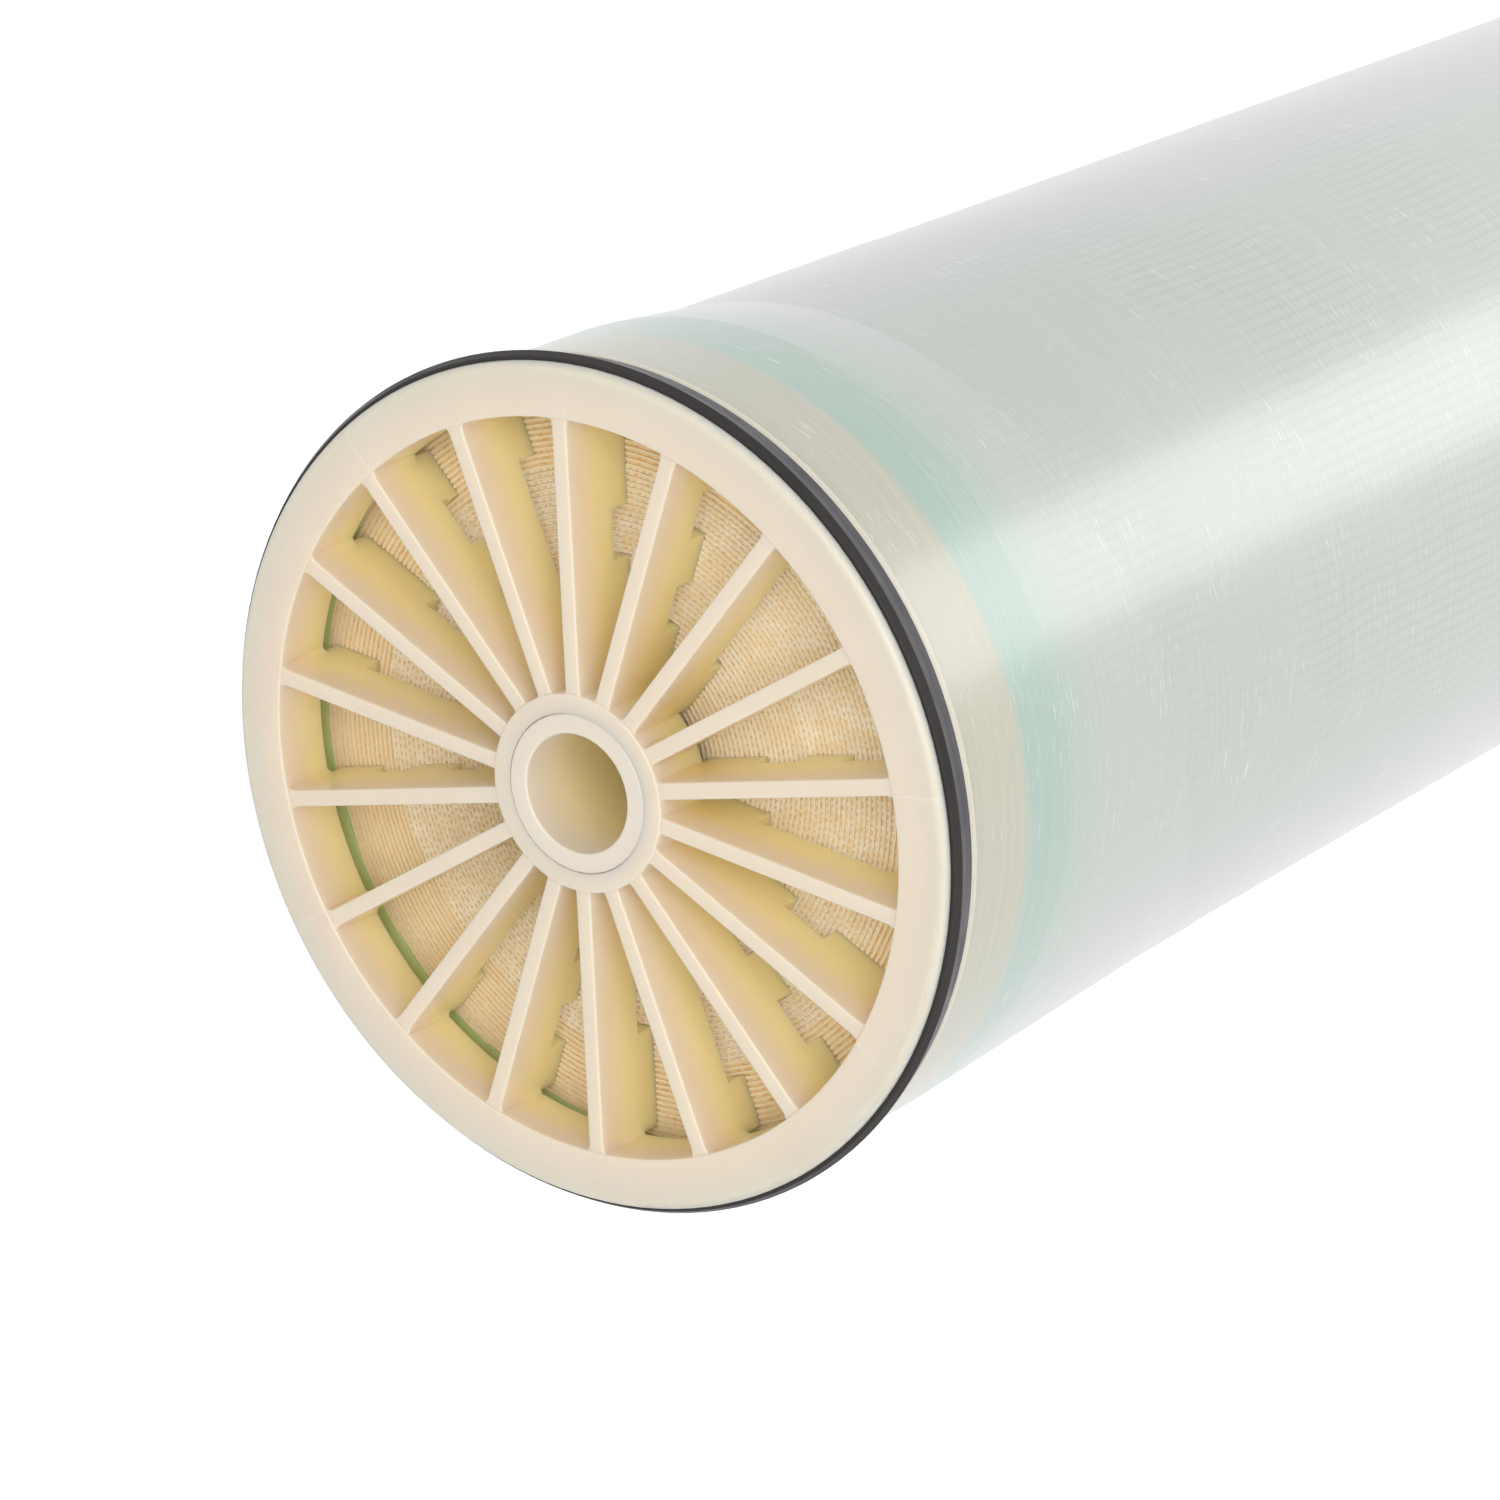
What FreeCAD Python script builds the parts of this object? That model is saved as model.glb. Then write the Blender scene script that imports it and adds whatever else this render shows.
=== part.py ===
import FreeCAD, Part
import itertools
import math
import os
import re

import Sketcher

# Spiral-wound reverse osmosis element, standing on its brine end with the permeate tube along +Z.
# Millimetres. The origin is on the tube's axis in the plane of the brine end's rim.
# Depths are measured into the element from the face of the nearer end.

os.makedirs("parts", exist_ok=True)

SIZES = {
    # overall
    "overall_length": 1016.0,
    "shell_inner_radius": 91.3,
    "shell_thickness": 4.3,
    "bond_gap": 0.08,
    # permeate tube
    "tube_radius": 19.0,
    "tube_bore_radius": 13.6,
    "seat_radius": 14.3,
    "seat_depth": 76.0,
    "mouth_round": 0.55,
    "tube_edge_chamfer": 0.3,
    "perforation_radius": 1.5,
    "perforation_margin": 54.0,
    "perforation_pitch": 63.0,
    # end wheel: spokes and hub
    "spoke_trios": 6,
    "spoke_width": 4.0,
    "spoke_recess": 0.5,
    "spoke_edge_round": 0.5,
    "web_depth": 16.0,
    "tooth_height": 6.0,
    "tooth_band": 12.2,
    "hub_clearance": 0.12,
    "hub_wall": 4.58,
    "hub_step": 2.0,
    "hub_root_radius": 1.4,
    "rim_root_radius": 3.2,
    "window_overlap": 0.3,
    # end wheel: rim and skirt
    "skirt_thickness": 1.2,
    "skirt_lap": 13.0,
    "rim_overhang": 3.62,
    "rim_width": 12.5,
    "rim_draft": 0.5,
    "rim_edge_round": 2.0,
    "groove_front": 2.2,
    "groove_width": 8.7,
    "groove_floor": 4.9,
    "rear_flange_drop": 0.1,
    "rear_flange_thickness": 2.2,
    "flange_edge_round": 0.5,
    # brine seal
    "seal_clearance": 0.1,
    "seal_leg": 2.6,
    "seal_lip_reach": 1.9,
    "seal_lip_thickness": 1.1,
    "seal_tip_drop": 1.0,
    "seal_crest_setback": 1.8,
    "seal_waist_drop": 1.2,
    "seal_waist_setback": 3.2,
    "seal_recess": 4.6,
    "seal_edge_round": 0.3,
    # overwraps
    "overwrap_thickness": 1.65,
    "overwrap_gap": 0.2,
    "overwrap_flat_lap": 19.0,
    "overwrap_ramp_short": 30.0,
    "overwrap_ramp_long": 118.0,
    "overwrap_feather": 0.15,
    "cutter_reach": 10.0,
    # wound leaves
    "leaf_count": 16,
    "core_wrap_thickness": 1.2,
    "envelope_thickness": 0.68,
    "spacer_thickness": 0.68,
    "layer_gap": 0.01,
    "spacer_recess": 0.5,
}

WORKED_OUT = {
    "spoke_count": "3 * spoke_trios",
    "shell_radius": "shell_inner_radius + shell_thickness",
    "hub_bore": "tube_radius + hub_clearance",
    "hub_radius": "hub_bore + hub_wall",
    "hub_depth": "web_depth + hub_step",
    "scroll_depth": "web_depth + tooth_height",
    "scroll_top": "overall_length - scroll_depth",
    "skirt_inner": "shell_radius + bond_gap",
    "skirt_outer": "skirt_inner + skirt_thickness",
    "skirt_depth": "scroll_depth + skirt_lap",
    "rim_radius": "skirt_outer + rim_overhang",
    "rim_inner_radius": "rim_radius - rim_width",
    "groove_radius": "rim_radius - groove_floor",
    "groove_rear": "groove_front + groove_width",
    "rear_flange_radius": "rim_radius - rear_flange_drop",
    "rear_flange_back": "groove_rear + rear_flange_thickness",
    "seal_lip_radius": "rim_radius + seal_lip_reach",
    "seal_tip_radius": "seal_lip_radius - seal_tip_drop",
    "seal_crest_depth": "groove_front + seal_crest_setback",
    "seal_root_thickness": "1.6 * seal_lip_thickness",
    "front_lip_round": "0.9 * spoke_recess",
    "ramp_start": "skirt_depth + overwrap_flat_lap",
    "ramp_outer": "skirt_outer + bond_gap + overwrap_thickness",
    "ramp_foot": "shell_radius + bond_gap + overwrap_feather",
    "ramp_end": "ramp_start + overwrap_ramp_long",
    "ramp_steep": "(ramp_outer - ramp_foot) / overwrap_ramp_short",
    "ramp_gentle": "(ramp_outer - ramp_foot) / overwrap_ramp_long",
    "ramp_slope": "(ramp_steep + ramp_gentle) / 2",
    "ramp_lean": "(ramp_steep - ramp_gentle) / 2",
    "core_wrap_inner": "tube_radius + bond_gap",
    "core_wrap_outer": "core_wrap_inner + core_wrap_thickness",
    "layer_pitch": "envelope_thickness + spacer_thickness + 2 * layer_gap",
    "perforation_start": "seat_depth + perforation_margin",
}

# edges this close to where a feature should be are the feature's own
SAME_PLACE = 0.01

doc = FreeCAD.newDocument("membrane_element")
sheet = doc.addObject("Spreadsheet::Sheet", "sizes")


def fill_cell(row, alias, content):
    sheet.set(f"A{row}", alias)
    sheet.set(f"B{row}", content)
    sheet.setAlias(f"B{row}", alias)


for row, (alias, number) in enumerate(SIZES.items(), start=1):
    fill_cell(row, alias, str(number))
for row, (alias, formula) in enumerate(WORKED_OUT.items(), start=len(SIZES) + 2):
    fill_cell(row, alias, f"={formula}")
doc.recompute()


def size(alias):
    """The number in a cell of the sheet."""
    return float(sheet.get(alias))


def bound(formula):
    """A formula in aliases, written the way an expression reads the sheet."""
    def spell(word):
        alias = word.group()
        return f"sizes.{alias}" if alias in SIZES or alias in WORKED_OUT else alias
    return re.sub(r"[a-z_]+", spell, formula)


def new_body(label):
    body = doc.addObject("PartDesign::Body", label)
    body.Label = label
    return body


def origin_plane(body, role):
    return next(item for item in body.Origin.OriginFeatures if item.Role == role)


def new_sketch(body, name, role, lift="0"):
    """An empty sketch on one of the body's own planes, lifted along the plane's normal."""
    sketch = body.newObject("Sketcher::SketchObject", name)
    sketch.AttachmentSupport = [(origin_plane(body, role), "")]
    sketch.MapMode = "FlatFace"
    sketch.setExpression("AttachmentOffset.Base.z", bound(lift))
    return sketch


def add_polygon(sketch, corners):
    """A closed polygon whose corners are pairs of formulas from the sketch's origin."""
    first = sketch.GeometryCount
    total = len(corners)
    spots = [FreeCAD.Vector(math.cos(index), math.sin(index), 0) for index in range(total)]
    for index in range(total):
        sketch.addGeometry(Part.LineSegment(spots[index], spots[(index + 1) % total]))
    for index in range(total):
        sketch.addConstraint(
            Sketcher.Constraint("Coincident", first + index, 2, first + (index + 1) % total, 1)
        )
    for index, corner in enumerate(corners):
        for kind, formula in zip(("DistanceX", "DistanceY"), corner):
            number = sketch.addConstraint(Sketcher.Constraint(kind, -1, 1, first + index, 1, 1.0))
            sketch.setExpression(f"Constraints[{number}]", bound(formula))


def add_circle(sketch, radius, across="0", along="0"):
    """A circle whose radius and centre are formulas."""
    place = sketch.addGeometry(Part.Circle(FreeCAD.Vector(0.5, 0.5, 0), FreeCAD.Vector(0, 0, 1), 1.0))
    held = (("Radius", (place, 1.0), radius),
            ("DistanceX", (-1, 1, place, 3, 1.0), across),
            ("DistanceY", (-1, 1, place, 3, 1.0), along))
    for kind, arguments, formula in held:
        number = sketch.addConstraint(Sketcher.Constraint(kind, *arguments))
        sketch.setExpression(f"Constraints[{number}]", bound(formula))


def revolve(body, name, corners):
    """Material turned about Z from a profile of (radius, height) formulas."""
    profile = new_sketch(body, f"{name}_profile", "XZ_Plane")
    add_polygon(profile, corners)
    turned = body.newObject("PartDesign::Revolution", name)
    turned.Profile = profile
    turned.ReferenceAxis = (profile, ["V_Axis"])
    turned.Angle = 360
    doc.recompute()
    return turned


def pad(body, name, profile, length):
    padded = body.newObject("PartDesign::Pad", name)
    padded.Profile = profile
    padded.setExpression("Length", bound(length))
    doc.recompute()
    return padded


def cut_through(body, name, profile):
    """A cut right through the body both ways from the sketch, which has to take material away."""
    before = body.Shape.Volume
    pocket = body.newObject("PartDesign::Pocket", name)
    pocket.Profile = profile
    pocket.Type = "ThroughAll"
    pocket.Midplane = True
    doc.recompute()
    if pocket.Shape.Volume >= before:
        raise RuntimeError(f"{name} cuts nothing")
    return pocket


def polar(body, name, feature, count):
    """Copies of a feature round Z."""
    pattern = body.newObject("PartDesign::PolarPattern", name)
    pattern.Originals = [feature]
    pattern.Axis = (feature.Profile[0], ["N_Axis"])
    pattern.Angle = 360
    pattern.setExpression("Occurrences", bound(count))
    body.Tip = pattern
    doc.recompute()
    return pattern


def along_axis(body, name, feature, count, length):
    """Copies of a feature in a row up Z."""
    pattern = body.newObject("PartDesign::LinearPattern", name)
    pattern.Originals = [feature]
    pattern.Direction = (feature.Profile[0], ["V_Axis"])
    pattern.setExpression("Occurrences", bound(count))
    pattern.setExpression("Length", bound(length))
    body.Tip = pattern
    doc.recompute()
    return pattern


def dress(body, kind, name, wanted, amount):
    """A fillet or chamfer, sized by a formula, on each edge that wanted(edge) picks."""
    base = body.Tip
    names = [f"Edge{index}" for index, edge in enumerate(base.Shape.Edges, start=1) if wanted(edge)]
    if not names:
        raise RuntimeError(f"{name} finds no edge")
    dressed = body.newObject(f"PartDesign::{kind}", name)
    dressed.Base = (base, names)
    dressed.setExpression("Radius" if kind == "Fillet" else "Size", bound(amount))
    body.Tip = dressed
    doc.recompute()
    return dressed


def ring_edge(radius, height):
    """Picks the round edges of that radius about Z at that height."""
    def wanted(edge):
        curve = edge.Curve
        return (isinstance(curve, Part.Circle)
                and abs(curve.Radius - radius) < SAME_PLACE
                and abs(curve.Center.z - height) < SAME_PLACE
                and math.hypot(curve.Center.x, curve.Center.y) < SAME_PLACE)
    return wanted


def any_of(*tests):
    return lambda edge: any(test(edge) for test in tests)


# ---------------------------------------------------------------- permeate tube

def build_permeate_tube():
    """Bored at both ends for the interconnector, with two crossed rows of drillings between the seats."""
    body = new_body("permeate_tube")
    revolve(body, "tube_turning", [
        ("seat_radius", "0"),
        ("tube_radius", "0"),
        ("tube_radius", "overall_length"),
        ("seat_radius", "overall_length"),
        ("seat_radius", "overall_length - seat_depth"),
        ("tube_bore_radius", "overall_length - seat_depth"),
        ("tube_bore_radius", "seat_depth"),
        ("seat_radius", "seat_depth"),
    ])
    ends = (0.0, size("overall_length"))
    dress(body, "Fillet", "bore_mouths",
          any_of(*(ring_edge(size("seat_radius"), end) for end in ends)), "mouth_round")
    dress(body, "Chamfer", "outer_ends",
          any_of(*(ring_edge(size("tube_radius"), end) for end in ends)), "tube_edge_chamfer")
    reach = "(overall_length - 2 * perforation_start)"
    rows = (("row_across_y", "XZ_Plane", "0"), ("row_across_x", "YZ_Plane", "0.5"))
    for name, role, shift in rows:
        holes = f"floor({reach} / perforation_pitch - {shift}) + 1"
        spot = new_sketch(body, f"{name}_spot", role)
        add_circle(spot, "perforation_radius", "0", f"perforation_start + {shift} * perforation_pitch")
        drilled = cut_through(body, f"{name}_drilling", spot)
        along_axis(body, f"{name}_pattern", drilled, holes, f"perforation_pitch * ({holes} - 1)")
    return body


# ---------------------------------------------------------------- end wheels

def upright_edge(nearest, farthest):
    """Picks the straight edges along Z whose distance from the axis lies between two limits."""
    def wanted(edge):
        if len(edge.Vertexes) < 2:
            return False
        foot, head = (vertex.Point for vertex in edge.Vertexes)
        return (math.hypot(foot.x - head.x, foot.y - head.y) < SAME_PLACE
                and nearest < math.hypot(foot.x, foot.y) < farthest)
    return wanted


def turned_sketch(body, name, lift, turn):
    """A sketch across the axis, turned about it by some degrees."""
    sketch = new_sketch(body, name, "XY_Plane", lift)
    sketch.AttachmentOffset = FreeCAD.Placement(
        sketch.AttachmentOffset.Base,
        FreeCAD.Rotation(FreeCAD.Vector(0, 0, 1), turn),
    )
    return sketch


def add_spoked_web(body):
    """A disc between hub and rim with one rounded window in each gap between spokes."""
    web = new_sketch(body, "web_profile", "XY_Plane", "spoke_recess")
    add_circle(web, "(rim_inner_radius + groove_radius) / 2")
    add_circle(web, "(hub_bore + hub_radius) / 2")
    pad(body, "web", web, "web_depth - spoke_recess")

    near = "(hub_radius - window_overlap)"
    far = "(rim_inner_radius + rim_draft + window_overlap)"
    half_angle = "(180 / spoke_count)"
    near_half, far_half = (
        f"({reach} * tan({half_angle}) - spoke_width / 2 / cos({half_angle}))" for reach in (near, far)
    )
    window = turned_sketch(body, "window_profile", "0", 180 / size("spoke_count"))
    add_polygon(window, [
        (near, f"-1 * {near_half}"),
        (far, f"-1 * {far_half}"),
        (far, far_half),
        (near, near_half),
    ])
    polar(body, "windows", cut_through(body, "window", window), "spoke_count")

    middle = (size("hub_radius") + size("rim_inner_radius")) / 2
    dress(body, "Fillet", "hub_roots", upright_edge(0, middle), "hub_root_radius")
    dress(body, "Fillet", "rim_roots", upright_edge(middle, size("rim_radius")), "rim_root_radius")
    front = size("spoke_recess")
    hole = size("hub_radius") - 2 * size("window_overlap")

    def window_front(edge):
        middle = edge.CenterOfMass
        return abs(edge.BoundBox.ZMax - front) < SAME_PLACE and hole < math.hypot(middle.x, middle.y)

    dress(body, "Fillet", "spoke_fronts", window_front, "spoke_edge_round")


def add_teeth(body, name, place, bands):
    """Teeth on the back of every third spoke, from its bands of radius down to the leaves."""
    profile = turned_sketch(body, f"{name}_profile", "web_depth", place * 360 / size("spoke_count"))
    for near, far in bands:
        add_polygon(profile, [
            (near, "-spoke_width / 2"),
            (far, "-spoke_width / 2"),
            (far, "spoke_width / 2"),
            (near, "spoke_width / 2"),
        ])
    polar(body, f"{name}_round", pad(body, name, profile, "tooth_height"), "spoke_trios")


def build_end_wheel(label):
    """One moulding: hub, spokes with stepped backs, rim with the seal's groove, skirt over the shell."""
    body = new_body(label)
    add_spoked_web(body)
    revolve(body, "hub", [
        ("hub_bore", "0"),
        ("hub_radius", "0"),
        ("hub_radius", "hub_depth"),
        ("hub_bore", "hub_depth"),
    ])
    revolve(body, "rim", [
        ("rim_inner_radius", "0"),
        ("rim_radius", "0"),
        ("rim_radius", "groove_front"),
        ("groove_radius", "groove_front"),
        ("groove_radius", "groove_rear"),
        ("rear_flange_radius", "groove_rear"),
        ("rear_flange_radius", "rear_flange_back"),
        ("skirt_outer", "rear_flange_back"),
        ("skirt_outer", "skirt_depth"),
        ("skirt_inner", "skirt_depth"),
        ("skirt_inner", "web_depth"),
        ("rim_inner_radius + rim_draft", "web_depth"),
    ])

    at_hub = "hub_radius - window_overlap"
    at_rim = "rim_inner_radius + window_overlap"
    band_edge = [f"rim_inner_radius - {number} * tooth_band" for number in range(5)]
    add_teeth(body, "split_teeth", 0, [
        (at_hub, band_edge[4]), (band_edge[3], band_edge[2]), (band_edge[1], at_rim)])
    add_teeth(body, "end_teeth", 1, [
        (at_hub, band_edge[4]), (band_edge[1], at_rim)])
    add_teeth(body, "wide_teeth", 2, [
        (at_hub, band_edge[3]), (band_edge[2], at_rim)])

    dress(body, "Fillet", "rim_front", ring_edge(size("rim_radius"), 0), "rim_edge_round")
    dress(body, "Fillet", "front_lips",
          any_of(ring_edge(size("hub_radius"), 0), ring_edge(size("rim_inner_radius"), 0)),
          "front_lip_round")
    dress(body, "Fillet", "rear_flange_edges",
          any_of(ring_edge(size("rear_flange_radius"), size("groove_rear")),
                 ring_edge(size("rear_flange_radius"), size("rear_flange_back"))),
          "flange_edge_round")
    return body


# ---------------------------------------------------------------- brine seal

def build_brine_seal():
    """A U-cup ring in the wheel's groove: its lip opens to the feed side and flares past the rim."""
    body = new_body("brine_seal")
    front = "groove_front + seal_clearance"
    back = "groove_rear - seal_clearance"
    seat = "groove_radius + seal_clearance"
    recess = "groove_front + seal_recess"
    waist = "seal_lip_radius - seal_waist_drop"
    revolve(body, "seal_section", [
        (seat, front),
        (f"{seat} + seal_leg", front),
        (f"{seat} + seal_leg", recess),
        (f"{waist} - seal_root_thickness", recess),
        ("seal_tip_radius - seal_lip_thickness", front),
        ("seal_tip_radius", front),
        ("seal_lip_radius", "seal_crest_depth"),
        (waist, "seal_crest_depth + seal_waist_setback"),
        ("rear_flange_radius - seal_clearance", back),
        (seat, back),
    ])
    tip_depth = size("groove_front") + size("seal_clearance")
    dress(body, "Fillet", "seal_edges",
          any_of(ring_edge(size("seal_tip_radius"), tip_depth),
                 ring_edge(size("seal_tip_radius") - size("seal_lip_thickness"), tip_depth),
                 ring_edge(size("seal_lip_radius"), size("seal_crest_depth"))),
          "seal_edge_round")
    return body


# ---------------------------------------------------------------- casing

def build_shell():
    """Filament-wound glass-fibre tube round the leaves."""
    body = new_body("frp_shell")
    revolve(body, "shell_wall", [
        ("shell_inner_radius", "scroll_depth"),
        ("shell_radius", "scroll_depth"),
        ("shell_radius", "scroll_top"),
        ("shell_inner_radius", "scroll_top"),
    ])
    return body


def cut_askew_ramp(body):
    """Takes the ramp off the wrap as a cone a little askew, short on one side and long on the other."""
    profile = new_sketch(body, "ramp_profile", "YZ_Plane")
    profile.AttachmentOffset = FreeCAD.Placement(
        FreeCAD.Vector(0, size("ramp_start"), 0),
        FreeCAD.Rotation(FreeCAD.Vector(0, 0, 1), -math.degrees(size("ramp_lean"))),
    )
    profile.setExpression("AttachmentOffset.Base.y", bound("ramp_start"))
    beyond = "(overwrap_ramp_long + cutter_reach)"
    add_polygon(profile, [
        ("ramp_outer + ramp_slope * cutter_reach", "-cutter_reach"),
        (f"ramp_outer - ramp_slope * {beyond}", beyond),
        ("ramp_outer + cutter_reach", beyond),
        ("ramp_outer + cutter_reach", "-cutter_reach"),
    ])
    before = body.Shape.Volume
    ramp = body.newObject("PartDesign::Groove", "ramp")
    ramp.Profile = profile
    ramp.ReferenceAxis = (profile, ["V_Axis"])
    ramp.Angle = 360
    doc.recompute()
    if ramp.Shape.Volume >= before:
        raise RuntimeError("the ramp cuts nothing")


def build_overwrap(label):
    """Resin and glass wound over the wheel's skirt, ramped down on to a first layer on the shell."""
    body = new_body(label)
    on_skirt = "skirt_outer + bond_gap"
    on_shell = "shell_radius + bond_gap"
    start = "rear_flange_back + overwrap_gap"
    revolve(body, "wrap", [
        (on_skirt, start),
        ("ramp_outer", start),
        ("ramp_outer", "ramp_end"),
        (on_shell, "ramp_end"),
        (on_shell, "skirt_depth + bond_gap"),
        (on_skirt, "skirt_depth + bond_gap"),
    ])
    cut_askew_ramp(body)
    revolve(body, "first_layer", [
        (on_shell, "skirt_depth + bond_gap"),
        ("ramp_foot", "skirt_depth + bond_gap"),
        ("ramp_foot", "ramp_end"),
        (on_shell, "ramp_end"),
    ])
    return body


# ---------------------------------------------------------------- wound leaves

def build_core_wrap():
    """First turns of permeate carrier round the tube, under the roots of all the leaves."""
    body = new_body("core_carrier_wrap")
    revolve(body, "wrap_wall", [
        ("core_wrap_inner", "scroll_depth"),
        ("core_wrap_outer", "scroll_depth"),
        ("core_wrap_outer", "scroll_top"),
        ("core_wrap_inner", "scroll_top"),
    ])
    return body


def spot_at(radius, angle, centre=FreeCAD.Vector(0, 0, 0)):
    return centre + FreeCAD.Vector(radius * math.cos(angle), radius * math.sin(angle), 0)


def arc_about(centre, radius, start, end):
    return Part.Arc(
        spot_at(radius, start, centre),
        spot_at(radius, (start + end) / 2, centre),
        spot_at(radius, end, centre),
    ).toShape()


def winding_line(offset, inner, outer):
    """Arcs of the line that a layer follows outwards, as the end of a taut string unwound from a polygon.

    The polygon has one side per leaf and each side is one layer's pitch long, so that the same line
    turned by one leaf lies exactly one pitch away all along.
    """
    pitch = size("layer_pitch")
    step = math.pi / size("leaf_count")
    pivot_radius = pitch / 2 / math.sin(step)
    arcs = []
    for side in itertools.count(1):
        string = side * pitch + offset
        heading = 2 * side * step

        def side_angle(reach):
            """The string's angle from its pivot's heading where its end is that far from the axis."""
            cosine = (reach ** 2 - pivot_radius ** 2 - string ** 2) / (2 * pivot_radius * string)
            return -math.acos(max(-1.0, min(1.0, cosine)))

        start = max(-math.pi / 2 - step, side_angle(inner))
        end = min(-math.pi / 2 + step, side_angle(outer))
        if start < end - 1e-9:
            pivot = spot_at(pivot_radius, heading)
            arcs.append((pivot, string, heading + start, heading + end))
        elif arcs:
            return arcs


def wound_layer(near, far, bottom, top):
    """A layer between two offsets of the winding line, closed on the core and on the shell's wall."""
    inner = size("core_wrap_outer") + size("layer_gap")
    outer = size("shell_inner_radius") - size("bond_gap")
    low = winding_line(near, inner, outer)
    high = winding_line(far, inner, outer)
    edges = [arc_about(*arc) for arc in low] + [arc_about(*arc) for arc in high]

    def polar_angle(arc, at_end):
        pivot, string, start, end = arc
        spot = spot_at(string, end if at_end else start, pivot)
        return math.atan2(spot.y, spot.x)

    for radius, index, at_end in ((inner, 0, False), (outer, -1, True)):
        first = polar_angle(high[index], at_end)
        last = polar_angle(low[index], at_end)
        if last < first:
            last += 2 * math.pi
        edges.append(arc_about(FreeCAD.Vector(0, 0, 0), radius, first, last))
    outline = Part.Wire(Part.sortEdges(edges)[0])
    face = Part.Face(outline)
    face.translate(FreeCAD.Vector(0, 0, bottom))
    return face.extrude(FreeCAD.Vector(0, 0, top - bottom))


def build_leaves():
    """Each leaf is a glued membrane envelope with the mesh feed spacer that lies against it."""
    count = int(size("leaf_count"))
    low, high = size("scroll_depth"), size("scroll_top")
    recess = size("spacer_recess")
    envelope = size("envelope_thickness")
    spacer_start = envelope + size("layer_gap")
    layers = {
        "membrane_leaf": wound_layer(0.0, envelope, low, high),
        "feed_spacer": wound_layer(
            spacer_start, spacer_start + size("spacer_thickness"), low + recess, high - recess),
    }
    made = []
    for name, shape in layers.items():
        for index in range(count):
            label = f"{name}_{index + 1:02d}"
            feature = doc.addObject("Part::Feature", label)
            feature.Label = label
            feature.Shape = shape
            feature.Placement = FreeCAD.Placement(
                FreeCAD.Vector(0, 0, 0),
                FreeCAD.Rotation(FreeCAD.Vector(0, 0, 1), 360.0 * index / count),
            )
            made.append(feature)
    return made


# ---------------------------------------------------------------- assembly

def stand_on_head(part):
    """Turns a part made for the brine end over to the feed end."""
    part.Placement = FreeCAD.Placement(
        FreeCAD.Vector(0, 0, size("overall_length")),
        FreeCAD.Rotation(FreeCAD.Vector(1, 0, 0), 180),
    )
    return part


parts = [
    build_permeate_tube(),
    build_end_wheel("brine_end_wheel"),
    stand_on_head(build_end_wheel("feed_end_wheel")),
    stand_on_head(build_brine_seal()),
    build_shell(),
    build_overwrap("brine_end_overwrap"),
    stand_on_head(build_overwrap("feed_end_overwrap")),
    build_core_wrap(),
]
parts += build_leaves()
doc.recompute()

for item in doc.Objects:
    if "Invalid" in item.State or "Error" in item.State:
        raise RuntimeError(f"{item.Label} did not recompute: {item.State}")
for part in parts:
    if part.Shape.isNull() or not part.Shape.isValid():
        raise RuntimeError(f"{part.Label} has no valid shape")
    part.Shape.exportStep(f"parts/{part.Label}.step")
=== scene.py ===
"""A spiral-wound reverse osmosis element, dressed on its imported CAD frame."""
import math
import random

import bpy
from mathutils import Euler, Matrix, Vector


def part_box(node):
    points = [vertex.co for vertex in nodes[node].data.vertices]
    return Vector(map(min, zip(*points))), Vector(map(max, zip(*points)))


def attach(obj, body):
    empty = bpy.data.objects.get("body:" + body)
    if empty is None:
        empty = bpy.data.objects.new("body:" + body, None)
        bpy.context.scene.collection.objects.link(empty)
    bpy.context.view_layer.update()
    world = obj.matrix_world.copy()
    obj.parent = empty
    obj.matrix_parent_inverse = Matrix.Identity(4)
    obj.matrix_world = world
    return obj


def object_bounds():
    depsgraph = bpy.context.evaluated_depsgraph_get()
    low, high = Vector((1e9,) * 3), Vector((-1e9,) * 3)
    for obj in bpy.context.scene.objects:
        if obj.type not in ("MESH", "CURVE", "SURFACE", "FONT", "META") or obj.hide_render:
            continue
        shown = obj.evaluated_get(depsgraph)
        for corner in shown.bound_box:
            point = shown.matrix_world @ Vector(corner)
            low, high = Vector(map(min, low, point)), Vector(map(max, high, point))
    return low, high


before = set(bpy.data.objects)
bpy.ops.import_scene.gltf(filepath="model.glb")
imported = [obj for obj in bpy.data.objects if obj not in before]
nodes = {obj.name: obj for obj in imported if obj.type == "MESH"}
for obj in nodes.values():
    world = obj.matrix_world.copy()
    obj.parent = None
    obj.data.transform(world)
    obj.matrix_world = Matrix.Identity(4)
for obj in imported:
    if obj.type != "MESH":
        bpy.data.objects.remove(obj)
cad_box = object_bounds()
MM = 0.001

# ---------------------------------------------------------------- sizes

# Read from the frame.
LENGTH = cad_box[1].z
ROLL_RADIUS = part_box("membrane_leaf_01")[1].x
CORE_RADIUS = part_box("core_carrier_wrap")[1].x
LEAF_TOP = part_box("membrane_leaf_01")[1].z
SPACER_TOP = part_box("feed_spacer_01")[1].z

# The wheel's and the seal's own sizes, as in the part's source.
RIM_INNER_RADIUS = 88.0 * MM
SEAL_CREST = 4.0 * MM

# Depths from the nearer end at which a colour changes, matched to the photograph.
# Past this depth the whole wheel takes the painted golden glow.
ALL_PAINTED_GLOW_DEPTH = 15.0 * MM
CUT_COLOUR_ENDS = 24.0 * MM
CREAM_ENDS = 37.0 * MM
GREEN_START = 41.5 * MM
GREEN_FADES = 44.0 * MM
GREEN_GONE = 84.0 * MM

# The feed spacer's net, as it shows through the shell: rows round it, and the pitch along it.
NET_ROWS = 188.0
NET_PITCH = 2.9 * MM

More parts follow.
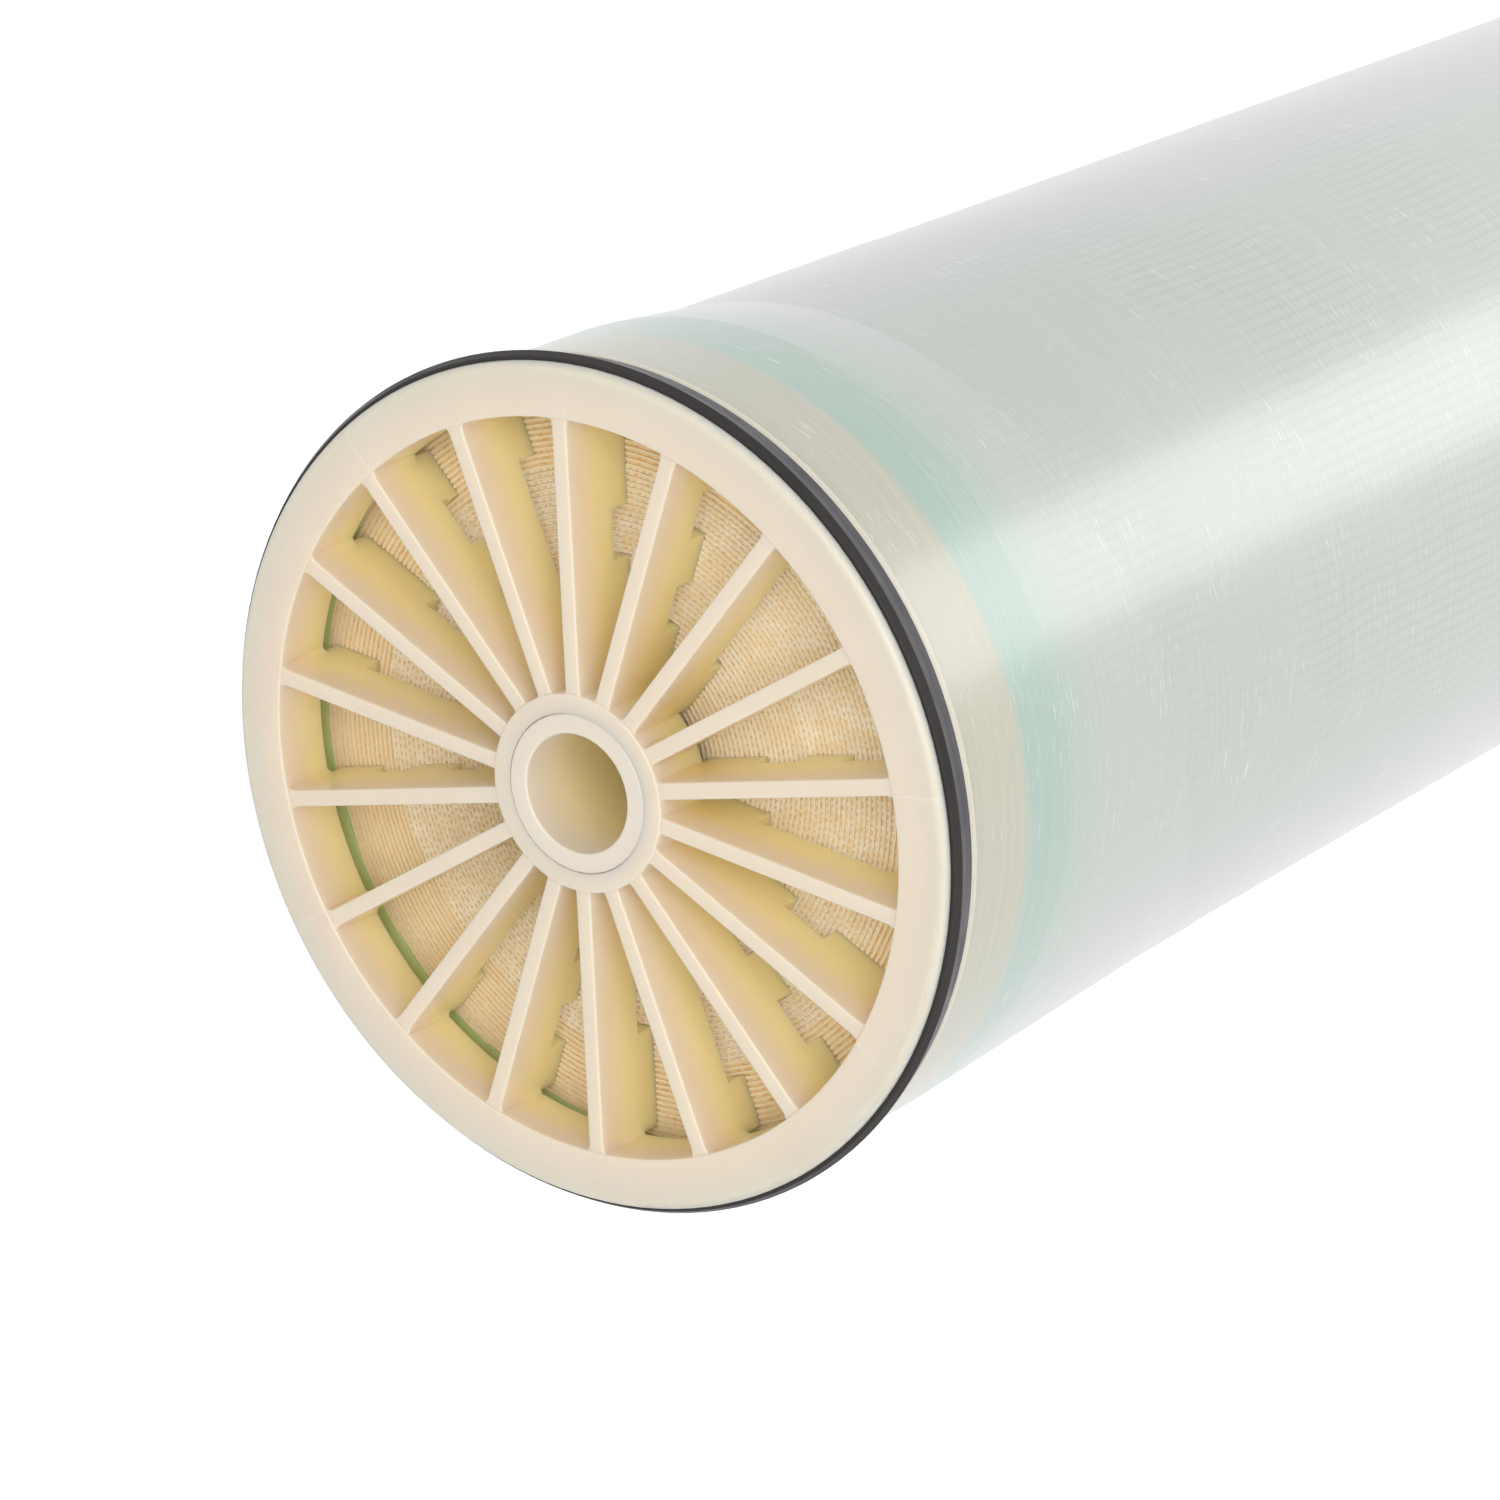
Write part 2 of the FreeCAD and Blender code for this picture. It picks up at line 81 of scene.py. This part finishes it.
# The roll, as it is wound: sixteen leaves on a line unwound from a sixteen-sided polygon.
LEAF_COUNT = 16
ENVELOPE = 0.68 * MM
SPACER = 0.68 * MM
LAYER_GAP = 0.01 * MM
LAYER_PITCH = ENVELOPE + SPACER + 2 * LAYER_GAP

# Texture on the roll's cut ends: steps along a layer, and how high the leaves' lips stand.
STRAND_STEP = 1.95 * MM
LIP_STEP = 1.1 * MM
LIP_RISE = 0.28 * MM

# ---------------------------------------------------------------- camera

CAMERA_SPOT = (0.76443, 0.25246, 1.92192)
CAMERA_TURN = (-19.568, 35.292, -12.768)
CAMERA_LENS = 127.78


def add_camera():
    data = bpy.data.cameras.new("camera")
    data.lens = CAMERA_LENS
    data.sensor_width = 36.0
    data.clip_start = 0.05
    data.clip_end = 60.0
    camera = bpy.data.objects.new("camera", data)
    camera.location = CAMERA_SPOT
    camera.rotation_euler = Euler([math.radians(turn) for turn in CAMERA_TURN], "XYZ")
    bpy.context.scene.collection.objects.link(camera)
    bpy.context.scene.camera = camera


# ---------------------------------------------------------------- shader building

def linear(red, green, blue):
    """An sRGB colour of 0 to 255 as the linear colour that a shader takes."""
    def one(value):
        value /= 255.0
        return value / 12.92 if value <= 0.04045 else ((value + 0.055) / 1.055) ** 2.4
    return (one(red), one(green), one(blue), 1.0)


def between(first, second, share):
    """The colour that lies at that share of the way from the first to the second."""
    return tuple(a + (b - a) * share for a, b in zip(first, second))


CREAM_RESIN = linear(185, 183, 163)
GREEN_CUT = linear(202, 230, 160)


class Shader:
    """One node material, with short calls for the nodes that the materials here are made of."""

    def __init__(self, name):
        self.material = bpy.data.materials.new(name)
        self.material.use_nodes = True
        self.tree = self.material.node_tree
        self.tree.nodes.clear()
        self.output = self.tree.nodes.new("ShaderNodeOutputMaterial")
        self.place = self.tree.nodes.new("ShaderNodeTexCoord").outputs["Object"]

    def put(self, socket, value):
        if isinstance(value, bpy.types.NodeSocket):
            self.tree.links.new(value, socket)
        else:
            socket.default_value = value

    def math(self, operation, first, second=0.0, third=0.0):
        node = self.tree.nodes.new("ShaderNodeMath")
        node.operation = operation
        for socket, value in zip(node.inputs, (first, second, third)):
            self.put(socket, value)
        return node.outputs[0]

    def ramp(self, value, low, high, start=0.0, end=1.0):
        """value from low to high, as a smooth step from start to end."""
        node = self.tree.nodes.new("ShaderNodeMapRange")
        node.interpolation_type = "SMOOTHSTEP"
        self.put(node.inputs["Value"], value)
        self.put(node.inputs["From Min"], low)
        self.put(node.inputs["From Max"], high)
        self.put(node.inputs["To Min"], start)
        self.put(node.inputs["To Max"], end)
        return node.outputs["Result"]

    def split(self):
        node = self.tree.nodes.new("ShaderNodeSeparateXYZ")
        self.put(node.inputs[0], self.place)
        return node.outputs

    def join(self, x, y, z):
        node = self.tree.nodes.new("ShaderNodeCombineXYZ")
        for socket, value in zip(node.inputs, (x, y, z)):
            self.put(socket, value)
        return node.outputs[0]

    def stretched(self, across, along, lean_x=0.0, lean_y=0.0):
        """The place in periods: across for x and y, along for z, with z leaning with x and y."""
        x, y, z = self.split()
        leaning = self.math("MULTIPLY_ADD", x, lean_x, self.math("MULTIPLY_ADD", y, lean_y, z))
        return self.join(
            self.math("MULTIPLY", x, across),
            self.math("MULTIPLY", y, across),
            self.math("MULTIPLY", leaning, along),
        )

    def noise(self, vector=None, scale=1.0, detail=2.0, roughness=0.5):
        node = self.tree.nodes.new("ShaderNodeTexNoise")
        self.put(node.inputs["Vector"], vector or self.place)
        node.inputs["Scale"].default_value = scale
        node.inputs["Detail"].default_value = detail
        node.inputs["Roughness"].default_value = roughness
        return node.outputs["Fac"]

    def cells(self, scale):
        node = self.tree.nodes.new("ShaderNodeTexVoronoi")
        self.put(node.inputs["Vector"], self.place)
        node.inputs["Scale"].default_value = scale
        return node.outputs["Distance"]

    def mix(self, factor, first, second):
        node = self.tree.nodes.new("ShaderNodeMix")
        node.data_type = "RGBA"
        self.put(node.inputs["Factor"], factor)
        self.put(node.inputs[6], first)
        self.put(node.inputs[7], second)
        return node.outputs[2]

    def bump(self, height, strength, distance, under=None):
        node = self.tree.nodes.new("ShaderNodeBump")
        node.inputs["Strength"].default_value = strength
        node.inputs["Distance"].default_value = distance
        self.put(node.inputs["Height"], height)
        if under is not None:
            self.put(node.inputs["Normal"], under)
        return node.outputs[0]

    def polar(self):
        """(distance from the tube's axis, angle round it) of the place."""
        x, y, _ = self.split()
        squares = self.math("ADD", self.math("MULTIPLY", x, x), self.math("MULTIPLY", y, y))
        return self.math("SQRT", squares), self.math("ARCTAN2", y, x)

    def from_end(self):
        """Distance from the nearer end of the element."""
        height = self.split()[2]
        return self.math("MINIMUM", height, self.math("SUBTRACT", LENGTH, height))

    def surface(self, **inputs):
        node = self.tree.nodes.new("ShaderNodeBsdfPrincipled")
        for name, value in inputs.items():
            self.put(node.inputs[name.replace("_", " ")], value)
        self.tree.links.new(node.outputs[0], self.output.inputs["Surface"])
        return self.material


# ---------------------------------------------------------------- materials

def wheel_plastic():
    """Cream moulded plastic, with a painted golden glow of bounced and through-shining light down
    in its windows, and faint flow marks on the rim.
    """
    s = Shader("wheel_plastic")
    radius, angle = s.polar()
    mottle = s.noise(scale=55.0, detail=3.0)
    flow = s.noise(s.stretched(26.0, 220.0), detail=2.0)
    front = s.mix(mottle, linear(236, 222, 204), linear(232, 215, 194))
    # Painted glow: the window walls turn a lighter gold with depth, and every face past the glow
    # depth does too, standing in for warm light bounced about and shining through the plastic.
    painted_glow_colour = s.mix(flow, linear(254, 235, 186), linear(252, 229, 170))
    in_window = s.ramp(radius, RIM_INNER_RADIUS + 2.0 * MM, RIM_INNER_RADIUS + 1.0 * MM)
    painted_glow_share = s.math("MULTIPLY", in_window, s.ramp(s.from_end(), 1.0 * MM, 13.0 * MM))
    past = s.ramp(s.from_end(), ALL_PAINTED_GLOW_DEPTH - 0.5 * MM, ALL_PAINTED_GLOW_DEPTH + 0.5 * MM)
    painted_glow_share = s.math("MAXIMUM", painted_glow_share, past)
    colour = s.mix(painted_glow_share, front, painted_glow_colour)
    wander = s.math("MULTIPLY_ADD", s.noise(scale=60.0), 0.05, angle)
    knit = s.math("ABSOLUTE", s.math("SINE", s.math("MULTIPLY", wander, 4.5)))
    line = s.math("SUBTRACT", 1.0, s.ramp(knit, 0.0, 0.028))
    on_rim = s.ramp(radius, RIM_INNER_RADIUS, RIM_INNER_RADIUS + 0.5 * MM)
    seen = s.ramp(s.noise(scale=18.0, detail=0.0), 0.5, 0.62)
    mark = s.math("MULTIPLY", line, s.math("MULTIPLY", on_rim, seen))
    colour = s.mix(s.math("MULTIPLY", mark, 0.35), colour, linear(247, 238, 224))
    grain = s.noise(scale=1400.0, detail=2.0)
    normal = s.bump(grain, 0.12, 0.05 * MM)
    normal = s.bump(mottle, 0.10, 0.25 * MM, normal)
    rough = s.ramp(s.noise(scale=90.0, detail=3.0), 0.3, 0.7, 0.34, 0.45)
    return s.surface(
        Base_Color=colour, Roughness=rough, Normal=normal, IOR=1.5,
        Coat_Weight=0.3, Coat_Roughness=0.13,
        Subsurface_Weight=0.7, Subsurface_Radius=(1.0, 0.68, 0.34), Subsurface_Scale=7.0 * MM,
    )


def tube_plastic():
    """Whiter turned plastic with faint tool rings at its ends, and a painted golden glow down in
    the bore.
    """
    s = Shader("tube_plastic")
    radius, _ = s.polar()
    rings = s.math("SINE", s.math("MULTIPLY", radius, 2 * math.pi / (0.35 * MM)))
    mottle = s.noise(scale=80.0, detail=3.0)
    colour = s.mix(mottle, linear(235, 225, 213), linear(230, 218, 204))
    # Painted glow: the bore turns a lighter gold with depth, standing in for warm light bounced
    # about inside it.
    painted_glow_share = s.ramp(s.from_end(), -4.0 * MM, 24.0 * MM)
    colour = s.mix(painted_glow_share, colour, linear(255, 236, 182))
    normal = s.bump(rings, 0.06, 0.02 * MM)
    normal = s.bump(s.noise(scale=900.0), 0.08, 0.05 * MM, normal)
    rough = s.ramp(mottle, 0.35, 0.65, 0.30, 0.42)
    return s.surface(
        Base_Color=colour, Roughness=rough, Normal=normal, IOR=1.5,
        Subsurface_Weight=0.4, Subsurface_Radius=(1.0, 0.7, 0.4), Subsurface_Scale=4.0 * MM,
    )


def seal_rubber():
    """Black moulded rubber with a painted purple-grey sheen behind its crest, a matt grain and a
    little dust.
    """
    s = Shader("seal_rubber")
    mottle = s.noise(s.stretched(70.0, 260.0), detail=3.0)
    colour = s.mix(mottle, linear(36, 33, 31), linear(47, 43, 41))
    # Painted sheen: behind the crest the black takes a purple-grey tint, standing in for the soft
    # reflection on the rear face.
    painted_sheen_behind = s.ramp(s.from_end(), SEAL_CREST - 0.2 * MM, SEAL_CREST + 0.3 * MM)
    colour = s.mix(painted_sheen_behind, colour, s.mix(mottle, linear(36, 33, 38), linear(47, 43, 50)))
    dust = s.ramp(s.cells(scale=520.0), 0.075, 0.045)
    dust = s.math("MULTIPLY", dust, s.ramp(s.noise(scale=120.0), 0.55, 0.65))
    colour = s.mix(s.math("MULTIPLY", dust, 0.5), colour, linear(150, 142, 134))
    grain = s.noise(scale=2600.0, detail=2.0)
    normal = s.bump(grain, 0.25, 0.04 * MM)
    rough = s.ramp(mottle, 0.3, 0.7, 0.36, 0.5)
    return s.surface(
        Base_Color=colour, Roughness=rough, Normal=normal, IOR=1.5, Specular_IOR_Level=0.35,
        Sheen_Weight=0.05, Sheen_Roughness=0.4, Sheen_Tint=linear(190, 180, 205),
    )


def glass_fibre(name, net_seen, cut_end):
    """Glass fibre wound in clear resin, with the net of the roll showing through.

    net_seen is how strongly the net shows, and cut_end the colour of the winding's cut end.
    """
    s = Shader(name)
    depth = s.from_end()
    _, angle = s.polar()
    wander = s.noise(scale=9.0, detail=2.0)
    edge = s.math("MULTIPLY_ADD", wander, 5.0 * MM, depth)
    green = linear(159, 185, 172)
    body = s.mix(s.noise(scale=7.0, detail=2.0), linear(184, 188, 181), linear(178, 186, 179))
    past_cut = s.ramp(depth, CUT_COLOUR_ENDS - 1.0 * MM, CUT_COLOUR_ENDS + 1.0 * MM)
    colour = s.mix(past_cut, cut_end, CREAM_RESIN)
    colour = s.mix(s.ramp(edge, CREAM_ENDS, GREEN_START), colour, green)
    colour = s.mix(s.ramp(edge, GREEN_FADES, GREEN_GONE), colour, body)

    # Hoop-wound filaments, faint and even, and short bright strokes of fibre near the surface.
    filament = s.noise(s.stretched(9.0, 1500.0, -0.07, 0.05), detail=3.0, roughness=0.6)
    faint = s.math("MULTIPLY", s.ramp(filament, 0.42, 0.66), 0.10)
    colour = s.mix(faint, colour, linear(238, 241, 236))
    stroke = s.ramp(s.noise(s.stretched(150.0, 2600.0, 0.12, 0.05), detail=1.0), 0.63, 0.74)
    stroke = s.math("MULTIPLY", stroke, s.ramp(s.noise(scale=45.0, detail=2.0), 0.45, 0.7))
    colour = s.mix(s.math("MULTIPLY", stroke, 0.55), colour, linear(250, 251, 248))

    # The feed spacer's net behind the resin: rows of soft squares, clearer in patches.
    sway = s.noise(scale=32.0, detail=2.0)
    rows = s.math("SINE", s.math("MULTIPLY_ADD", angle, NET_ROWS, s.math("MULTIPLY", sway, 7.0)))
    along = s.math("MULTIPLY", depth, 2 * math.pi / NET_PITCH)
    hoops = s.math("SINE", s.math("MULTIPLY_ADD", sway, 7.0, along))
    line = s.math("MULTIPLY_ADD", s.ramp(hoops, -0.1, -1.0), 0.55, s.ramp(rows, 0.0, -1.0))
    patch = s.ramp(s.noise(scale=11.0, detail=3.0), 0.30, 0.58)
    shown = s.math("MULTIPLY", patch, s.ramp(depth, 50.0 * MM, GREEN_GONE))
    net = s.math("MULTIPLY", line, shown)
    colour = s.mix(s.math("MULTIPLY", net, net_seen), colour, linear(154, 162, 154))

    speck = s.ramp(s.cells(scale=900.0), 0.12, 0.05)
    speck = s.math("MULTIPLY", speck, s.ramp(s.noise(scale=140.0), 0.46, 0.60))
    colour = s.mix(s.math("MULTIPLY", speck, 0.35), colour, linear(247, 248, 244))

    cloud = s.noise(s.stretched(160.0, 160.0), detail=3.0)
    relief = s.math("MULTIPLY_ADD", filament, 0.35, s.math("MULTIPLY", net, -0.6))
    normal = s.bump(relief, 0.45, 0.06 * MM)
    normal = s.bump(cloud, 0.25, 0.12 * MM, normal)
    rough = s.ramp(filament, 0.3, 0.7, 0.34, 0.46)
    return s.surface(
        Base_Color=colour, Roughness=rough, Normal=normal, IOR=1.52,
        Specular_IOR_Level=0.6, Coat_Weight=1.0, Coat_Roughness=0.24, Coat_IOR=1.55,
    )


def carrier_cloth():
    """Tan knitted carrier wound on the tube."""
    s = Shader("carrier_cloth")
    knit = s.cells(scale=900.0)
    colour = s.mix(s.ramp(knit, 0.1, 0.6), linear(236, 204, 150), linear(206, 166, 108))
    normal = s.bump(knit, 0.5, 0.15 * MM)
    return s.surface(Base_Color=colour, Roughness=0.75, Normal=normal)


def membrane_sheet(index):
    """Cream edges of a glued leaf, in fine plies, each leaf a shade apart from the next."""
    s = Shader(f"membrane_sheet_{index:02d}")
    shade = (index * 7 % LEAF_COUNT) / LEAF_COUNT
    light = between(linear(253, 243, 218), linear(250, 236, 206), shade)
    fibre = s.noise(scale=1500.0, detail=3.0)
    patch = s.noise(scale=38.0, detail=2.0)
    colour = s.mix(s.ramp(fibre, 0.3, 0.7), light, linear(248, 230, 192))
    colour = s.mix(s.math("MULTIPLY", s.ramp(patch, 0.45, 0.7), 0.4), colour, linear(246, 224, 180))
    normal = s.bump(fibre, 0.4, 0.12 * MM)
    return s.surface(Base_Color=colour, Roughness=0.55, Normal=normal)


def spacer_gap_shade(index):
    """Painted shade on a feed spacer's cut end, for the gaps between the strands of its net, with
    lighter strands in cells.
    """
    s = Shader(f"spacer_gap_shade_{index:02d}")
    shade = (index * 5 % LEAF_COUNT) / LEAF_COUNT
    # Painted shade: the spacer's cut end is coloured as the shaded gap deep between the cut
    # strands.
    painted_gap_shade = between(linear(240, 204, 146), linear(232, 192, 132), shade)
    strand = s.cells(scale=620.0)
    colour = s.mix(s.ramp(strand, 0.15, 0.6), painted_gap_shade, linear(248, 224, 178))
    normal = s.bump(strand, 0.4, 0.15 * MM)
    return s.surface(Base_Color=colour, Roughness=0.6, Normal=normal)


def strand_plastic():
    """Cut strands of the spacer's net and the torn lips of the membrane sheets."""
    s = Shader("strand_plastic")
    mottle = s.noise(scale=240.0, detail=2.0)
    colour = s.mix(s.ramp(mottle, 0.35, 0.65), linear(253, 246, 228), linear(249, 234, 202))
    normal = s.bump(s.noise(scale=2200.0), 0.3, 0.05 * MM)
    return s.surface(Base_Color=colour, Roughness=0.42, Normal=normal, IOR=1.5)


FLOOR_GLOW = 0.50


def floor_paint():
    """Pale matt floor that shows white to the camera where it is lit, and keeps its shadows."""
    s = Shader("floor_paint")
    tree = s.tree
    path = tree.nodes.new("ShaderNodeLightPath")
    seen = s.math("MAXIMUM", path.outputs["Is Camera Ray"], path.outputs["Is Glossy Ray"])
    seen = s.math("MAXIMUM", seen, path.outputs["Is Transmission Ray"])
    speckle = s.noise(scale=30.0, detail=2.0)
    paint = tree.nodes.new("ShaderNodeBsdfDiffuse")
    s.put(paint.inputs["Color"], s.mix(speckle, (0.80, 0.80, 0.80, 1.0), (0.82, 0.82, 0.82, 1.0)))
    glow = tree.nodes.new("ShaderNodeEmission")
    s.put(glow.inputs["Strength"], s.math("MULTIPLY", seen, FLOOR_GLOW))
    both = tree.nodes.new("ShaderNodeAddShader")
    tree.links.new(paint.outputs[0], both.inputs[0])
    tree.links.new(glow.outputs[0], both.inputs[1])
    tree.links.new(both.outputs[0], s.output.inputs["Surface"])
    return s.material


# ---------------------------------------------------------------- stage and light

AMBIENT = 0.60


def add_world():
    world = bpy.data.worlds.new("studio")
    bpy.context.scene.world = world
    world.use_nodes = True
    tree = world.node_tree
    background = tree.nodes["Background"]
    path = tree.nodes.new("ShaderNodeLightPath")
    glossy = tree.nodes.new("ShaderNodeMath")
    glossy.operation = "MAXIMUM"
    tree.links.new(path.outputs["Is Camera Ray"], glossy.inputs[0])
    tree.links.new(path.outputs["Is Glossy Ray"], glossy.inputs[1])
    either = tree.nodes.new("ShaderNodeMath")
    either.operation = "MAXIMUM"
    tree.links.new(glossy.outputs[0], either.inputs[0])
    tree.links.new(path.outputs["Is Transmission Ray"], either.inputs[1])
    level = tree.nodes.new("ShaderNodeMapRange")
    tree.links.new(either.outputs[0], level.inputs["Value"])
    level.inputs["To Min"].default_value = AMBIENT
    level.inputs["To Max"].default_value = 1.0
    tree.links.new(level.outputs[0], background.inputs["Strength"])
    background.inputs["Color"].default_value = (1.0, 1.0, 1.0, 1.0)


def add_lamp(name, spot, target, width, height, power):
    data = bpy.data.lights.new(name, "AREA")
    data.shape = "RECTANGLE"
    data.size = width
    data.size_y = height
    data.energy = power
    lamp = bpy.data.objects.new(name, data)
    lamp.location = spot
    facing = Vector(target) - Vector(spot)
    lamp.rotation_euler = facing.to_track_quat("-Z", "Y").to_euler()
    lamp.visible_camera = False
    bpy.context.scene.collection.objects.link(lamp)


def mesh_object(name, vertices, faces, material):
    mesh = bpy.data.meshes.new(name)
    mesh.from_pydata(vertices, [], faces)
    mesh.validate()
    mesh.update()
    made = bpy.data.objects.new(name, mesh)
    mesh.materials.append(material)
    bpy.context.scene.collection.objects.link(made)
    return made


def add_stage():
    reach = 14.0
    corners = [(-reach, -reach, 0), (reach, -reach, 0), (reach, reach, 0), (-reach, reach, 0)]
    floor = mesh_object("floor", corners, [(0, 1, 2, 3)], floor_paint())
    floor.location.z = -0.2 * MM
    add_lamp("key_softbox", (1.10, 0.38, 2.25), (0, 0, 0.97), 1.3, 1.3, 15.0)
    add_lamp("fill_softbox", (1.3, -1.1, 1.9), (0, 0, 0.9), 1.4, 1.4, 6.0)
    add_lamp("low_strip", (0.44, 0.15, 0.34), (0, 0.0, 0.42), 0.28, 0.6, 1.0)


# ---------------------------------------------------------------- the roll's cut ends

def wound_spots(offset, inner, outer, step):
    """Points on the line of a layer at that offset, step apart, each with its outward direction."""
    half = math.pi / LEAF_COUNT
    pivot_radius = LAYER_PITCH / 2 / math.sin(half)
    spots = []
    carried = 0.0
    side = 1
    while True:
        string = side * LAYER_PITCH + offset
        heading = 2 * side * half
        pivot = Vector((math.cos(heading), math.sin(heading))) * pivot_radius
        sweep = 2 * half
        turn = carried / string
        while turn < sweep:
            angle = heading - math.pi / 2 - half + turn
            outward = Vector((math.cos(angle), math.sin(angle)))
            spot = pivot + outward * string
            if spot.length > outer:
                return spots
            if spot.length > inner:
                spots.append((spot, outward))
            turn += step / string
        carried = (turn - sweep) * string
        side += 1


def turned(spot, angle):
    return (
        spot.x * math.cos(angle) - spot.y * math.sin(angle),
        spot.x * math.sin(angle) + spot.y * math.cos(angle),
    )


def add_cut_strands(name, base, top, material, seed):
    """The cut ends of the spacer net's strands, standing in the groove over each feed spacer."""
    chance = random.Random(seed)
    vertices = []
    faces = []
    offset = ENVELOPE + LAYER_GAP + SPACER / 2
    spots = wound_spots(offset, CORE_RADIUS + 0.5 * MM, ROLL_RADIUS - 0.3 * MM, STRAND_STEP)
    for leaf in range(LEAF_COUNT):
        angle = 2 * math.pi * leaf / LEAF_COUNT
        for spot, outward in spots:
            along = Vector((-outward.y, outward.x))
            centre = spot + along * chance.uniform(-0.3, 0.3) * MM
            half_long = chance.uniform(0.58, 0.80) * MM
            half_wide = SPACER / 2 - 0.01 * MM
            lean = chance.uniform(-0.16, 0.16) * MM
            lift = top - chance.uniform(0.0, 0.16) * MM * math.copysign(1, top - base)
            first = len(vertices)
            for height, shrink in ((base, 1.0), (lift, 0.62)):
                for side_long, side_wide in ((-1, -1), (1, -1), (1, 1), (-1, 1)):
                    corner = centre + along * (side_long * half_long * shrink + side_wide * lean)
                    corner = corner + outward * side_wide * half_wide * (0.5 + 0.5 * shrink)
                    vertices.append((*turned(corner, angle), height))
            for index in range(4):
                after = (index + 1) % 4
                faces.append((first + index, first + after, first + 4 + after, first + 4 + index))
            faces.append((first + 4, first + 5, first + 6, first + 7))
            faces.append((first + 3, first + 2, first + 1, first))
    made = mesh_object(name, vertices, faces, material)
    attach(made, "root")


def add_sheet_lips(name, base, rise, material, seed):
    """The wavy lip that each leaf's cut edge has, a low rounded ridge along the whole leaf."""
    chance = random.Random(seed)
    vertices = []
    faces = []
    offset = ENVELOPE / 2
    spots = wound_spots(offset, CORE_RADIUS + 0.5 * MM, ROLL_RADIUS - 0.3 * MM, LIP_STEP)
    profile = ((-0.30, 0.0), (-0.12, 1.0), (0.12, 1.0), (0.30, 0.0))
    for leaf in range(LEAF_COUNT):
        angle = 2 * math.pi * leaf / LEAF_COUNT
        phase = chance.uniform(0, 6.28)
        start = len(vertices)
        for index, (spot, outward) in enumerate(spots):
            sway = 0.06 * math.sin(index * 1.7 + phase) + chance.uniform(-0.03, 0.03)
            height = rise * chance.uniform(0.55, 1.0)
            for across, up in profile:
                corner = spot + outward * (across + sway) * MM
                vertices.append((*turned(corner, angle), base + height * up))
        rows = len(spots)
        for index in range(rows - 1):
            for column in range(3):
                low = start + index * 4 + column
                faces.append((low, low + 4, low + 5, low + 1))
        faces.append(tuple(start + column for column in range(4)))
        faces.append(tuple(start + (rows - 1) * 4 + column for column in (3, 2, 1, 0)))
    made = mesh_object(name, vertices, faces, material)
    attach(made, "root")


# ---------------------------------------------------------------- dressing the frame

def dress(name, material):
    node = nodes[name]
    node.data.materials.clear()
    node.data.materials.append(material)


add_camera()
add_world()
add_stage()
bpy.context.scene.view_settings.view_transform = "Standard"

plastic = wheel_plastic()
dress("feed_end_wheel", plastic)
dress("brine_end_wheel", plastic)
dress("permeate_tube", tube_plastic())
dress("brine_seal", seal_rubber())
dress("frp_shell", glass_fibre("glass_fibre", 0.22, GREEN_CUT))
overwrap = glass_fibre("glass_fibre_overwrap", 0.14, CREAM_RESIN)
dress("feed_end_overwrap", overwrap)
dress("brine_end_overwrap", overwrap)
dress("core_carrier_wrap", carrier_cloth())
for number in range(1, LEAF_COUNT + 1):
    dress(f"membrane_leaf_{number:02d}", membrane_sheet(number))
    dress(f"feed_spacer_{number:02d}", spacer_gap_shade(number))

strand = strand_plastic()
add_cut_strands("feed_end_strands", SPACER_TOP, LEAF_TOP, strand, 11)
add_cut_strands("brine_end_strands", LENGTH - SPACER_TOP, LENGTH - LEAF_TOP, strand, 12)
add_sheet_lips("feed_end_lips", LEAF_TOP, LIP_RISE, strand, 13)
add_sheet_lips("brine_end_lips", LENGTH - LEAF_TOP, -LIP_RISE, strand, 14)
